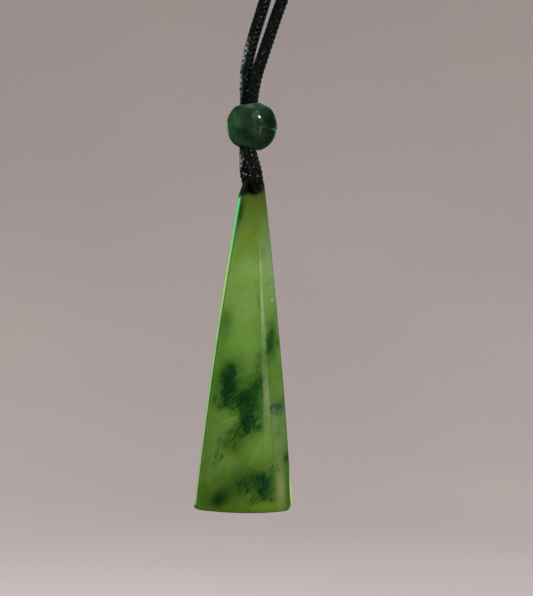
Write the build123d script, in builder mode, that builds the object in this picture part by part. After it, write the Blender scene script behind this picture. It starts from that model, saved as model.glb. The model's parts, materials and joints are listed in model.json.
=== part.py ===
# A jade drop on a neck cord: a long tapered blade of polished nephrite, hung from a braided waxed
# cord whose two strands go up through one round jade bead. Millimetres, +Z up, the front is -Y.
# The origin is where the loop hangs: the inside of the cord's top bend.
import os
from math import cos, hypot, pi, radians, sin, tan

from build123d import *

# The drop's hole lies straight below the place where the loop hangs.
hang_height = 331.1

# The drop's outline, from the front: a small round tip about its hole, a sloping shoulder on the
# left, two bowed sides and a bowed foot.
drop_length = 50.5
tip_height = 1.6
tip_left_width = 1.15
tip_right_width = 1.35
tip_left_radius = 1.5
tip_right_radius = 1.15
shoulder_width = 2.2
shoulder_depth = 1.7
shoulder_radius = 6.0
foot_half_width = 7.8
left_bow = 0.4
right_bow = 0.3
foot_bow = 0.35
foot_left_radius = 1.0
foot_right_radius = 1.4

# The drop's front and back are flats that come closer together from the hole down to the foot.
tip_thickness = 3.0
foot_thickness = 2.4
edge_round = 0.25

# One flat facet runs down the whole front, along the right edge.
facet_tip_width = 1.1
facet_foot_width = 2.6
facet_angle = 14.0

# The cord, the drop's hole for one strand and the bead's bore for two.
cord_diameter = 1.8
hole_clearance = 0.18
hole_flare = 0.15
bead_diameter = 8.0
bead_height = 9.5
bead_x = -0.51
bore_offset = -0.61
bore_clearance = 0.06
bore_flare = 0.12

# The knot that joins the cord's two ends at the nape.
knot_diameter = 4.6
knot_length = 9.1
knot_round = 1.0

# The cord's route: x, y and the height above the drop's hole, chosen by hand. It leaves the knot
# downwards, comes down the left strand and through the bead, goes through the drop's hole from back
# to front, comes up through the bead and the right strand, and goes over the top into the knot.
knot_bottom = (-15.3, 1.0, 290.0)
knot_lean = (-0.15, 0.0, 1.0)
left_strand = [
    (-12.6, 1.0, 272.0),
    (-5.5, 3.0, 238.0),
    (2.2, 4.5, 201.0),
    (8.6, 4.6, 163.0),
    (12.6, 3.6, 127.0),
    (13.2, 2.2, 97.0),
    (10.8, 1.2, 72.0),
    (7.0, 0.7, 53.0),
    (3.6, 0.4, 39.0),
    (0.95, 0.25, 29.0),
    (-1.2, 0.55, 21.3),
    (-1.62, 0.82, 16.9),
]
left_in_bead = [
    (-1.47, 0.87, 13.2),
    (-1.44, 0.87, 9.4),
    (-1.33, 0.9, 5.3),
]
hole_loop = [
    (-0.9, 2.45, 3.2),
    (-0.5, 3.15, 1.3),
    (-0.06, 1.85, 0.0),
    (0.03, -1.85, 0.0),
    (0.05, -3.15, 1.3),
    (-0.4, -2.45, 3.2),
]
right_in_bead = [
    (-0.84, -0.9, 5.3),
    (-0.79, -0.87, 9.4),
    (-0.81, -0.87, 13.4),
]
right_strand = [
    (-0.52, -0.78, 16.9),
    (1.1, -0.5, 21.6),
    (3.3, -0.2, 28.6),
    (7.3, -0.3, 39.5),
    (13.3, -1.0, 55.5),
    (21.2, -2.3, 77.5),
    (29.0, -3.6, 103.0),
    (35.2, -4.6, 133.0),
    (39.2, -4.9, 166.0),
    (39.5, -4.2, 202.0),
    (36.5, -3.0, 238.0),
    (31.5, -1.6, 269.0),
    (26.0, -0.8, 291.5),
    (20.5, -0.2, 309.5),
    (14.0, 0.1, 323.5),
]
top_bend = [
    (6.5, 0.2, 332.0),
    (-6.5, 0.3, 332.0),
    (-15.4, 0.6, 323.5),
    (-18.15, 1.0, 309.0),
]

# Each arc of the cord takes this share of the shorter of its two runs.
arc_share = 0.45

drop_hole = Vector(0, 0, -hang_height)
cord_radius = cord_diameter / 2
hole_radius = cord_radius + hole_clearance
foot_corner_depth = drop_length - foot_bow
os.makedirs("parts", exist_ok=True)


def in_frame(point):
    """A place given by its height above the drop's hole, in the part's own frame."""
    return Vector(*point) + drop_hole


def bowed_middle(start, end, bow):
    """The middle point of one side of the drop's outline, moved to the right by its bow."""
    return ((start[0] + end[0]) / 2 + bow, (start[1] + end[1]) / 2)


def facing(plane_point, along, across, side):
    """A plane through a point and two directions in it, whose normal points to the front or back."""
    normal = along.cross(across)
    if normal.Y * side < 0:
        normal = -normal
    return Plane(origin=drop_hole + plane_point, z_dir=normal)


def flat_plane(side):
    """The drop's front flat (side -1) or back flat (side 1)."""
    at_tip = Vector(0, side * tip_thickness / 2, 0)
    at_foot = Vector(0, side * foot_thickness / 2, -drop_length)
    return facing(at_tip, at_foot - at_tip, Vector(1, 0, 0), side)


def facet_plane():
    """The long facet: through its ridge on the front, and turned back towards the right edge."""
    ridge_tip = Vector(tip_right_width - facet_tip_width, -tip_thickness / 2, 0)
    ridge_foot = Vector(foot_half_width - facet_foot_width, -foot_thickness / 2, -drop_length)
    across = Vector(cos(radians(facet_angle)), sin(radians(facet_angle)), 0)
    return facing(ridge_tip, ridge_foot - ridge_tip, across, -1)


with BuildPart() as jade_drop:
    with BuildSketch(Plane(origin=drop_hole, x_dir=(1, 0, 0), z_dir=(0, -1, 0))) as outline:
        tip_left = (-tip_left_width, tip_height)
        tip_right = (tip_right_width, tip_height)
        shoulder = (-shoulder_width, -shoulder_depth)
        foot_left = (-foot_half_width, -foot_corner_depth)
        foot_right = (foot_half_width, -foot_corner_depth)
        with BuildLine():
            Line(tip_left, tip_right)
            ThreePointArc(tip_right, bowed_middle(tip_right, foot_right, right_bow), foot_right)
            ThreePointArc(foot_right, (0, -drop_length), foot_left)
            ThreePointArc(foot_left, bowed_middle(foot_left, shoulder, -left_bow), shoulder)
            Line(shoulder, tip_left)
        make_face()
        rounded_corners = (
            (tip_left, tip_left_radius),
            (tip_right, tip_right_radius),
            (shoulder, shoulder_radius),
            (foot_left, foot_left_radius),
            (foot_right, foot_right_radius),
        )
        for corner, radius in rounded_corners:
            fillet(outline.vertices().sort_by_distance(corner)[0], radius)
    extrude(amount=tip_thickness, both=True)
    split(bisect_by=flat_plane(-1), keep=Keep.BOTTOM)
    split(bisect_by=flat_plane(1), keep=Keep.BOTTOM)
    flats = jade_drop.faces().filter_by(GeomType.PLANE).sort_by(SortBy.AREA)[-2:]
    fillet(flats.edges(), edge_round)
    split(bisect_by=facet_plane(), keep=Keep.BOTTOM)
    with BuildSketch(Plane.XY.offset(drop_hole.Z)):
        flare_start = tip_thickness / 2 - hole_flare
        flare_end = hole_radius + tip_thickness - flare_start
        with BuildLine():
            Polyline(
                (0, -tip_thickness),
                (flare_end, -tip_thickness),
                (hole_radius, -flare_start),
                (hole_radius, flare_start),
                (flare_end, tip_thickness),
                (0, tip_thickness),
                close=True,
            )
        make_face()
    revolve(axis=Axis(drop_hole, (0, 1, 0)), mode=Mode.SUBTRACT)
jade_drop.part.label = "jade_drop"
export_step(jade_drop.part, "parts/jade_drop.step")

# The bead: a ball, drilled a little left of its middle, wide enough for both strands.
bead_centre = in_frame((bead_x, 0, bead_height))
bore_x = bead_x + bore_offset
strand_offsets = [hypot(x - bore_x, y) for x, y, _ in left_in_bead + right_in_bead]
bore_radius = max(strand_offsets) + cord_radius + bore_clearance
bead_radius = bead_diameter / 2

with BuildPart() as jade_bead:
    with Locations(bead_centre):
        Sphere(bead_radius)
    with Locations(bead_centre + Vector(bore_offset, 0, 0)):
        Cylinder(bore_radius, bead_diameter, mode=Mode.SUBTRACT)
    mouths = jade_bead.edges().filter_by(lambda edge: edge.length > pi * bore_radius)
    chamfer(mouths.sort_by(SortBy.LENGTH)[-2:], bore_flare)
jade_bead.part.label = "jade_bead"
export_step(jade_bead.part, "parts/jade_bead.step")

# The knot: a short barrel in line with the left strand, whose flat ends meet the cord's two ends.
knot_plane = Plane(origin=in_frame(knot_bottom), z_dir=knot_lean)

with BuildPart() as closing_knot:
    with BuildSketch(knot_plane):
        Circle(knot_diameter / 2)
    extrude(amount=knot_length)
    fillet(closing_knot.edges().filter_by(GeomType.CIRCLE), knot_round)
closing_knot.part.label = "closing_knot"
export_step(closing_knot.part, "parts/closing_knot.step")

# The cord: one tube of straight runs joined by tangent arcs, from the knot's lower end all the way
# round to its upper end.
knot_top = knot_plane.origin + knot_plane.z_dir * knot_length
chosen = left_strand + left_in_bead + hole_loop + right_in_bead + right_strand + top_bend
route = [knot_plane.origin, *(in_frame(point) for point in chosen), knot_top]


def arc_radius(before, corner, after):
    """The largest arc that a corner of the route has room for."""
    shorter = min((corner - before).length, (after - corner).length)
    turn = radians((corner - before).get_angle(after - corner))
    return arc_share * shorter / tan(turn / 2)


arc_radii = [arc_radius(*route[i - 1 : i + 2]) for i in range(1, len(route) - 1)]

with BuildPart() as neck_cord:
    with BuildLine() as cord_path:
        FilletPolyline(*route, radius=arc_radii)
    with BuildSketch(Plane(origin=route[0], z_dir=route[1] - route[0])):
        Circle(cord_radius)
    sweep(path=cord_path.line)
neck_cord.part.label = "neck_cord"
export_step(neck_cord.part, "parts/neck_cord.step")

cord_length = sum(edge.length for edge in cord_path.edges())
print("arc radii, mm:", [round(radius, 1) for radius in arc_radii])
print("cord length, mm:", round(cord_length, 1))
cord_volume = pi * cord_radius**2 * cord_length
print("cord volume / (section x length):", round(neck_cord.part.volume / cord_volume, 5))
print("loop with the knot, mm:", round(cord_length + knot_length, 1))
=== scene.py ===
# A jade drop pendant on a braided neck cord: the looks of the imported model.
# Metres, +Z up, the front is -Y, and the origin is where the loop hangs.
import json
import math

import bpy
import numpy as np
from mathutils import Matrix, Vector


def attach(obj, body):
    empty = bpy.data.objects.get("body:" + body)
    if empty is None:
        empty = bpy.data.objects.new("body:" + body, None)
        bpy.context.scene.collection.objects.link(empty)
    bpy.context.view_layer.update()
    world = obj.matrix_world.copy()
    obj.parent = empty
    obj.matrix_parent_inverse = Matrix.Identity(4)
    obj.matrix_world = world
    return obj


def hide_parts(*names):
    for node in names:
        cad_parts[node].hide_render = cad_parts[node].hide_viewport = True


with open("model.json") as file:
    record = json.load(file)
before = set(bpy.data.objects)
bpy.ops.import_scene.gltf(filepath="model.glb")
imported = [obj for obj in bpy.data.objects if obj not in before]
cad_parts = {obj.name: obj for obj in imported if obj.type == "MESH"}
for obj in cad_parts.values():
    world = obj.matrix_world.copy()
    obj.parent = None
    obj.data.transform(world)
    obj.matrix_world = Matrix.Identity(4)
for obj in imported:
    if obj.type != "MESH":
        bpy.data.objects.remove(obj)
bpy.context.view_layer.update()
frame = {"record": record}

# The view. The camera is nearly level with the drop, a little left of its front, and is held slightly
# askew, so that the plumb drop leans. The lens and the aim put the drop's hole at the photograph's
# pixel and scale.
MM = 0.001
PHOTO_WIDTH, PHOTO_HEIGHT = 533, 596
HOLE_PIXEL_X, HOLE_PIXEL_Y = 253.5, 187.5
PIXELS_PER_MM = 6.45
VIEW_AZIMUTH = -12
VIEW_ELEVATION = 1
VIEW_ROLL = 1.8
VIEW_DISTANCE = 0.45
SENSOR_HEIGHT = 36

drop_hole = Vector(frame["record"]["behaviour"]["joints"][0]["pos_m"])


def direction(azimuth, elevation):
    """The unit vector towards a place around the drop. Azimuth 0 is straight in front of it."""
    turn, lift = math.radians(azimuth), math.radians(elevation)
    return Vector((math.sin(turn) * math.cos(lift), -math.cos(turn) * math.cos(lift), math.sin(lift)))


def new_object(name, data):
    """An object in the scene that holds this data."""
    made = bpy.data.objects.new(name, data)
    bpy.context.scene.collection.objects.link(made)
    return made


camera_data = bpy.data.cameras.new("drop_view")
camera_data.sensor_fit = "VERTICAL"
camera_data.sensor_height = SENSOR_HEIGHT
camera_data.lens = SENSOR_HEIGHT * VIEW_DISTANCE / (PHOTO_HEIGHT / PIXELS_PER_MM * MM)
camera_data.clip_start, camera_data.clip_end = 0.01, 20
camera = new_object("drop_view", camera_data)
towards_camera = direction(VIEW_AZIMUTH, VIEW_ELEVATION)
roll = Matrix.Rotation(math.radians(VIEW_ROLL), 3, "Z")
aim = (-towards_camera).to_track_quat("-Z", "Y").to_matrix() @ roll
aim_right = (PHOTO_WIDTH / 2 - HOLE_PIXEL_X) / PIXELS_PER_MM * MM
aim_down = (PHOTO_HEIGHT / 2 - HOLE_PIXEL_Y) / PIXELS_PER_MM * MM
camera.location = drop_hole + aim @ Vector((aim_right, -aim_down, VIEW_DISTANCE))
camera.rotation_euler = aim.to_euler()
bpy.context.scene.camera = camera
bpy.context.scene.view_settings.view_transform = "Standard"

# The neck cord is polyester yarn braided round a core and waxed, so it is stiff and keeps its bends.
# One length goes through the drop's hole and back up through the bead, round the neck and into the
# knot. Its route is given in millimetres, as heights above the drop's hole.
CORD_DIAMETER = 1.8 * MM
CORD_ROUTE = [
    (-15.3, 1.0, 290.0),
    (-12.6, 1.0, 272.0),
    (-5.5, 3.0, 238.0),
    (2.2, 4.5, 201.0),
    (8.6, 4.6, 163.0),
    (12.6, 3.6, 127.0),
    (13.2, 2.2, 97.0),
    (10.8, 1.2, 72.0),
    (7.0, 0.7, 53.0),
    (3.6, 0.4, 39.0),
    (0.95, 0.25, 29.0),
    (-1.2, 0.55, 21.3),
    (-1.7, 0.84, 16.9),
    (-1.47, 0.87, 13.2),
    (-1.44, 0.87, 9.4),
    (-1.33, 0.9, 5.3),
    (-0.9, 2.45, 3.2),
    (-0.5, 3.15, 1.3),
    (-0.06, 1.85, -0.1),
    (0.03, -1.85, -0.12),
    (0.05, -3.1, 0.95),
    (-0.4, -2.45, 3.2),
    (-0.84, -0.9, 5.3),
    (-0.79, -0.87, 9.4),
    (-0.81, -0.87, 13.4),
    (-0.42, -0.8, 16.9),
    (1.1, -0.5, 21.6),
    (3.3, -0.2, 28.6),
    (7.3, -0.3, 39.5),
    (13.3, -1.0, 55.5),
    (21.2, -2.3, 77.5),
    (29.0, -3.6, 103.0),
    (35.2, -4.6, 133.0),
    (39.2, -4.9, 166.0),
    (39.5, -4.2, 202.0),
    (36.5, -3.0, 238.0),
    (31.5, -1.6, 269.0),
    (26.0, -0.8, 291.5),
    (20.5, -0.2, 309.5),
    (14.0, 0.1, 323.5),
    (6.5, 0.2, 332.0),
    (-6.5, 0.3, 332.0),
    (-15.4, 0.6, 323.5),
    (-18.15, 1.0, 309.0),
    (-16.65, 1.0, 299.0),
]
# The braid's yarns: how many run each way round, how far apart they cross along the cord, and how
# deep the weave is. Close to the pendant each crossing is modelled, and further up it is bump alone.
YARNS_EACH_WAY = 6
CROSSING_PITCH = 0.82
WEAVE_DEPTH = 0.26 * MM
CROWN_STANDS_OUT = 0.05 * MM
YARN_SWELL = 0.55
# The braid is a little thicker where nothing squeezes it, at these heights in millimetres.
FREE_HEIGHTS = (1.6, 2.4, 4.4, 5.2, 14.0, 15.5)
FREE_SHARES = (0, 1, 1, 0, 0, 1)
FREE_SWELL = 0.055 * MM
MODELLED_BELOW = 36 * MM
FINE_STEP = 0.1 * MM
COARSE_STEP = 0.8 * MM
CORD_SIDES = 44
ROUTE_STEPS = 40
# Painted teal-white glints where back light catches the crowns along the cord's left edges: the middle
# of each patch, in millimetres from the drop's hole, its half sizes and its lean to the right.
PAINTED_EDGE_GLINTS = [
    ((-2.66, 0.8, 16.1), (0.46, 1.2, 3.3), 0),
    ((-2.2, 0.5, 20.1), (0.44, 1.2, 3.0), 15),
    ((-2.25, 1.7, 3.1), (0.6, 1.6, 3.0), 10),
]
# Where the painted white specks, standing in for glints on the yarns' crowns, are thickest, and how much
# more often they come there.
PAINTED_SPECKS_MIDDLE = (-0.9, 0.0, 3.0)
PAINTED_SPECKS_SIZE = (2.6, 5.0, 3.4)
MORE_PAINTED_SPECKS = 0.14
# The yarns run from the first shade to the second with their fibres and how high they stand in the weave,
# so the hollows carry painted shade.
YARN_DARK_AND_HOLLOW_SHADE, YARN_LIGHT = (2, 3, 3), (13, 15, 13)
# Wax has its own shade; the next two are painted glints, teal-white on the edges and white in specks.
WAX_SHADE, PAINTED_EDGE_GLINT_SHADE, PAINTED_SPECK_SHADE = (11, 11, 9), (176, 214, 204), (186, 190, 186)
FIBRES_ACROSS_YARN = 9
# Each noise: how fine it is, in how many layers, and how rough.
FIBRE_NOISE, WAX_NOISE, SPECK_NOISE = (1.3, 2), (1.4, 3), (2.3, 1)
WEAVE_BUMP, BUMP_STRENGTH = 0.09 * MM, 0.8
FIBRE_RELIEF = 0.28
# A patch is whole up to the first of these shares of its half size, and gone past the second.
PATCH_WHOLE, PATCH_GONE = 0.1, 1.42


def fill(tree, made, values):
    """Gives a node's sockets these values, each a constant or another node's output."""
    for socket, value in values.items():
        if isinstance(value, bpy.types.NodeSocket):
            tree.links.new(value, made.inputs[socket])
        else:
            made.inputs[socket].default_value = value
    return made


def node(tree, kind, values=None, **settings):
    """A new node with these settings and values."""
    made = tree.nodes.new(kind)
    for name, setting in settings.items():
        setattr(made, name, setting)
    return fill(tree, made, values or {})


def maths(tree, operation, *values):
    return node(tree, "ShaderNodeMath", dict(enumerate(values)), operation=operation).outputs[0]


def product(tree, first, *others):
    """All these values multiplied."""
    for other in others:
        first = maths(tree, "MULTIPLY", first, other)
    return first


def vectors(tree, operation, *values):
    """One step of vector maths: a length or distance is a number, and all else is a vector."""
    made = node(tree, "ShaderNodeVectorMath", dict(enumerate(values)), operation=operation)
    return made.outputs["Value" if operation in ("LENGTH", "DISTANCE") else "Vector"]


def noise(tree, place, scale, detail, roughness=0.5):
    """The outputs of a noise, the first of which is a number from 0 to 1."""
    values = {"Vector": place, "Scale": scale, "Detail": detail, "Roughness": roughness}
    return node(tree, "ShaderNodeTexNoise", values).outputs


def between(tree, share, first, second):
    """A number that goes from the first to the second as the share goes from 0 to 1."""
    return node(tree, "ShaderNodeMix", {0: share, 2: first, 3: second}).outputs[0]


def tinted(tree, share, under, shade):
    """A colour that turns into this shade, given from 0 to 255, as the share goes from 0 to 1."""
    values = {0: share, 6: under, 7: colour(*shade)}
    return node(tree, "ShaderNodeMix", values, data_type="RGBA", clamp_factor=True).outputs[2]


def remapped(tree, value, low, high, new_low=0.0, new_high=1.0, kind="SMOOTHSTEP"):
    """The value, eased from one range of numbers to another and kept within it."""
    values = {"Value": value, "From Min": low, "From Max": high, "To Min": new_low, "To Max": new_high}
    return node(tree, "ShaderNodeMapRange", values, interpolation_type=kind).outputs[0]


def colour(red, green, blue):
    """A colour as a picture shows it, from 0 to 255, in the linear values that a shader takes."""
    shares = [level / 255 for level in (red, green, blue)]
    linear = [s / 12.92 if s <= 0.04045 else ((s + 0.055) / 1.055) ** 2.4 for s in shares]
    return (*linear, 1)


def new_material(name):
    """A material and its tree, with the surface shader that it starts with."""
    material = bpy.data.materials.new(name)
    material.use_nodes = True
    tree = material.node_tree
    return material, tree, tree.nodes["Principled BSDF"]


def smooth_line(points):
    """The points along the smooth curve that these control points give."""
    data = bpy.data.curves.new("route", "CURVE")
    data.dimensions = "3D"
    spline = data.splines.new("NURBS")
    spline.points.add(len(points) - 1)
    for control, point in zip(spline.points, points, strict=True):
        control.co = (*point, 1)
    spline.order_u = 3
    spline.use_endpoint_u = True
    spline.resolution_u = ROUTE_STEPS
    curve = new_object("route", data)
    read = bpy.data.meshes.new_from_object(curve)
    line = np.array([vertex.co for vertex in read.vertices])
    bpy.data.objects.remove(curve)
    bpy.data.meshes.remove(read)
    return line


def lengths_along(line):
    """How far along the line each of its points lies."""
    return np.concatenate([[0], np.cumsum(np.linalg.norm(np.diff(line, axis=0), axis=1))])


def points_at(line, lengths, places):
    """The points that lie this far along the line."""
    return np.stack([np.interp(places, lengths, values) for values in line.T], axis=1)


def stations(line):
    """Places along the line, close together where the weave is modelled, and whether it is there."""
    lengths = lengths_along(line)
    places, fine = [0.0], [False]
    while places[-1] < lengths[-1]:
        height = np.interp(places[-1], lengths, line[:, 2]) - drop_hole.z
        fine.append(height < MODELLED_BELOW)
        places.append(places[-1] + (FINE_STEP if fine[-1] else COARSE_STEP))
    places[-1] = lengths[-1]
    return np.array(places), points_at(line, lengths, places), np.array(fine)


def cross_frames(points):
    """Two directions across the line at each of its points, carried along it without twist."""
    tangents = np.gradient(points, axis=0)
    tangents /= np.linalg.norm(tangents, axis=1)[:, None]
    side = np.cross(tangents[0], (0, 1, 0))
    sides = []
    for tangent in tangents:
        side = side - tangent * (side @ tangent)
        side /= np.linalg.norm(side)
        sides.append(side)
    sides = np.array(sides)
    return sides, np.cross(tangents, sides)


def weave_height(around, along):
    """How high the weave stands, from 0 to 1, at a place counted in yarns around and along."""
    rising, falling = around + along, around - along
    one, other = np.round(rising), np.round(falling)
    over_one = np.cos(np.pi * (falling - one)) + YARN_SWELL * (1 - (2 * (rising - one)) ** 2)
    over_other = -np.cos(np.pi * (rising - other)) + YARN_SWELL * (1 - (2 * (falling - other)) ** 2)
    return np.clip(np.maximum(over_one, over_other) / (1 + YARN_SWELL), 0, 1)


def ring_walls(rings, sides):
    """The faces between rings of vertices that run round each ring in turn."""
    ring, side = np.meshgrid(np.arange(rings - 1), np.arange(sides), indexing="ij")
    here, beside = ring * sides + side, ring * sides + (side + 1) % sides
    return np.stack([here, beside, beside + sides, here + sides], axis=-1).reshape(-1, 4)


def tube_faces(rings, sides):
    """The faces of a closed tube: its walls and its two ends."""
    start = list(range(sides))[::-1]
    end = list(range((rings - 1) * sides, rings * sides))
    return [*ring_walls(rings, sides).tolist(), start, end]


def new_mesh(name, vertices, faces):
    """A mesh of these vertices and faces."""
    mesh = bpy.data.meshes.new(name)
    mesh.from_pydata(vertices, [], faces)
    return mesh


def new_piece(name, mesh, material):
    """An object at the origin with this mesh, shaded smooth."""
    mesh.materials.clear()
    mesh.materials.append(material)
    mesh.shade_smooth()
    return new_object(name, mesh)


def place_in_mm(tree):
    """Places in millimetres from the drop's hole, for a material's pattern."""
    place = node(tree, "ShaderNodeTexCoord").outputs["Object"]
    values = {"Vector": place, "Location": tuple(-drop_hole / MM), "Scale": (1 / MM,) * 3}
    return node(tree, "ShaderNodeMapping", values).outputs[0]


def patch_tree():
    """How much of one patch there is at a place: 1 in its middle and 0 past its edge."""
    tree = bpy.data.node_groups.new("soft_patch", "ShaderNodeTree")
    for name in ("Place", "Middle", "Lean", "Size"):
        tree.interface.new_socket(name, in_out="INPUT", socket_type="NodeSocketVector")
    tree.interface.new_socket("Amount", in_out="OUTPUT", socket_type="NodeSocketFloat")
    given = node(tree, "NodeGroupInput").outputs
    off_middle = vectors(tree, "SUBTRACT", given["Place"], given["Middle"])
    values = {"Vector": off_middle, "Rotation": given["Lean"]}
    turned = node(tree, "ShaderNodeVectorRotate", values, rotation_type="EULER_XYZ").outputs[0]
    far = vectors(tree, "LENGTH", vectors(tree, "DIVIDE", turned, given["Size"]))
    node(tree, "NodeGroupOutput", {"Amount": remapped(tree, far, PATCH_WHOLE, PATCH_GONE, 1, 0)})
    return tree


def patch_at(tree, patch, place, middle, size, lean=0):
    """How much of one patch there is at each place, by its middle and half sizes in millimetres."""
    values = {"Place": place, "Middle": middle, "Lean": (0, -math.radians(lean), 0), "Size": size}
    return node(tree, "ShaderNodeGroup", values, node_tree=patch).outputs[0]


def cord_material(patch):
    """Black waxed braid: yarns cross one over the other, with fine fibres, a broken gloss, painted shade
    in the hollows and painted glints.
    """
    material, tree, shader = new_material("waxed_black_braid")
    place = node(tree, "ShaderNodeAttribute", attribute_name="cord_place").outputs["Vector"]
    parts = node(tree, "ShaderNodeSeparateXYZ", {0: place}).outputs
    angle = maths(tree, "ARCTAN2", parts[1], parts[0])
    around = product(tree, angle, YARNS_EACH_WAY / math.tau)
    along = maths(tree, "DIVIDE", parts[2], CROSSING_PITCH)
    rising = maths(tree, "ADD", around, along)
    falling = maths(tree, "SUBTRACT", around, along)
    heights, fibres = [], []
    for own, other, sign in ((rising, falling, 1), (falling, rising, -1)):
        yarn = maths(tree, "ROUND", own)
        wave = product(tree, maths(tree, "SUBTRACT", other, yarn), math.pi)
        over = product(tree, maths(tree, "COSINE", wave), sign)
        bow = maths(tree, "POWER", product(tree, maths(tree, "SUBTRACT", own, yarn), 2), 2)
        swell = product(tree, maths(tree, "SUBTRACT", 1, bow), YARN_SWELL)
        heights.append(maths(tree, "ADD", over, swell))
        strand = node(tree, "ShaderNodeCombineXYZ", {0: product(tree, own, FIBRES_ACROSS_YARN), 1: other})
        fibres.append(noise(tree, strand.outputs[0], *FIBRE_NOISE)[0])
    height = maths(tree, "MAXIMUM", *heights)
    on_top = maths(tree, "GREATER_THAN", heights[0], heights[1])
    fibre = between(tree, on_top, fibres[1], fibres[0])
    crown = remapped(tree, height, 0, 1 + YARN_SWELL)
    modelled = node(tree, "ShaderNodeAttribute", attribute_name="weave_modelled").outputs["Fac"]
    relief = product(tree, crown, maths(tree, "SUBTRACT", 1, modelled))
    relief = maths(tree, "ADD", relief, product(tree, fibre, FIBRE_RELIEF))
    values = {"Strength": BUMP_STRENGTH, "Distance": WEAVE_BUMP, "Height": relief}
    bump = node(tree, "ShaderNodeBump", values)
    in_mm = place_in_mm(tree)
    wax = noise(tree, in_mm, *WAX_NOISE)[0]
    speck = noise(tree, in_mm, *SPECK_NOISE)[0]
    on_crown = remapped(tree, crown, 0.45, 0.8)
    # Painted glints: teal-white patches on the crowns along the left edges.
    edge_glints = 0.0
    for middle, size, lean in PAINTED_EDGE_GLINTS:
        edge_glints = maths(tree, "MAXIMUM", edge_glints, patch_at(tree, patch, in_mm, middle, size, lean))
    edge_glints = product(tree, edge_glints, on_crown, remapped(tree, speck, 0.34, 0.5))
    # Painted glints: sparse white specks on the crowns, more of them near the drop.
    speck_zone = patch_at(tree, patch, in_mm, PAINTED_SPECKS_MIDDLE, PAINTED_SPECKS_SIZE)
    often = maths(tree, "MULTIPLY_ADD", speck_zone, MORE_PAINTED_SPECKS, speck)
    painted_specks = product(tree, on_crown, remapped(tree, often, 0.74, 0.77, 0, 0.85))
    # Darker in dark fibres, and painted shade in the weave's hollows.
    body = tinted(tree, product(tree, crown, fibre), colour(*YARN_DARK_AND_HOLLOW_SHADE), YARN_LIGHT)
    body = tinted(tree, remapped(tree, wax, 0.45, 0.75), body, WAX_SHADE)
    body = tinted(tree, edge_glints, body, PAINTED_EDGE_GLINT_SHADE)
    body = tinted(tree, painted_specks, body, PAINTED_SPECK_SHADE)
    gloss = product(tree, wax, maths(tree, "ADD", 0.5, fibre))
    fill(tree, shader, {
        "Base Color": body,
        "Roughness": remapped(tree, gloss, 0.3, 0.6, 0.4, 0.1),
        "Specular IOR Level": 0.5,
        "Normal": bump.outputs[0],
    })
    return material


soft_patch = patch_tree()
waxed_braid = cord_material(soft_patch)
cord_line = smooth_line([drop_hole + Vector(point) * MM for point in CORD_ROUTE])
cord_places, cord_points, cord_fine = stations(cord_line)
across, upright = cross_frames(cord_points)
turns = np.linspace(0, math.tau, CORD_SIDES, endpoint=False)
weave = weave_height(
    np.broadcast_to(turns * YARNS_EACH_WAY / math.tau, (len(cord_places), CORD_SIDES)),
    np.broadcast_to(cord_places[:, None] / MM / CROSSING_PITCH, (len(cord_places), CORD_SIDES)),
)
weave = np.where(cord_fine[:, None], weave, np.mean(weave))
radii = CORD_DIAMETER / 2 + CROWN_STANDS_OUT - WEAVE_DEPTH * (1 - weave)
cord_heights = (cord_points[:, 2] - drop_hole.z) / MM
radii += FREE_SWELL * np.interp(cord_heights, FREE_HEIGHTS, FREE_SHARES)[:, None]
cosines, sines = np.cos(turns)[None, :, None], np.sin(turns)[None, :, None]
outward = cosines * across[:, None] + sines * upright[:, None]
cord_skin = cord_points[:, None] + radii[:, :, None] * outward
cord_faces = tube_faces(len(cord_places), CORD_SIDES)
cord_mesh = new_mesh("neck_cord_braid", cord_skin.reshape(-1, 3).tolist(), cord_faces)
place_attribute = cord_mesh.attributes.new("cord_place", "FLOAT_VECTOR", "POINT")
place_values = np.empty((len(cord_places), CORD_SIDES, 3))
place_values[:, :, 0] = np.cos(turns)
place_values[:, :, 1] = np.sin(turns)
place_values[:, :, 2] = cord_places[:, None] / MM
place_attribute.data.foreach_set("vector", place_values.ravel())
modelled_attribute = cord_mesh.attributes.new("weave_modelled", "FLOAT", "POINT")
modelled_attribute.data.foreach_set("value", np.repeat(cord_fine, CORD_SIDES).astype(float))
neck_cord = new_piece("neck_cord_braid", cord_mesh, waxed_braid)
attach(neck_cord, "necklace")
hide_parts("neck_cord")

# The closing knot joins the cord's two ends at the nape. It is a barrel of the same waxed cord, wound
# tightly round the ends, which lie inside it.
KNOT_BOTTOM = (-15.3, 1.0, 290.0)
KNOT_LEAN = (-0.15, 0.0, 1.0)
KNOT_LENGTH = 9.1
KNOT_TURNS = 4.0
WRAP_RADIUS = 1.35
TURN_POINTS = 48
CORE_POINTS = 40
KNOT_CORD_SIDES = 24


def kept_on(tree, geometry, name, value):
    """The geometry with this value kept on its points under a name, and the kept value."""
    kept = node(tree, "GeometryNodeCaptureAttribute", {"Geometry": geometry})
    kept.capture_items.new("FLOAT", name)
    fill(tree, kept, {name: value})
    return kept.outputs[0], kept.outputs[name]


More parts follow.
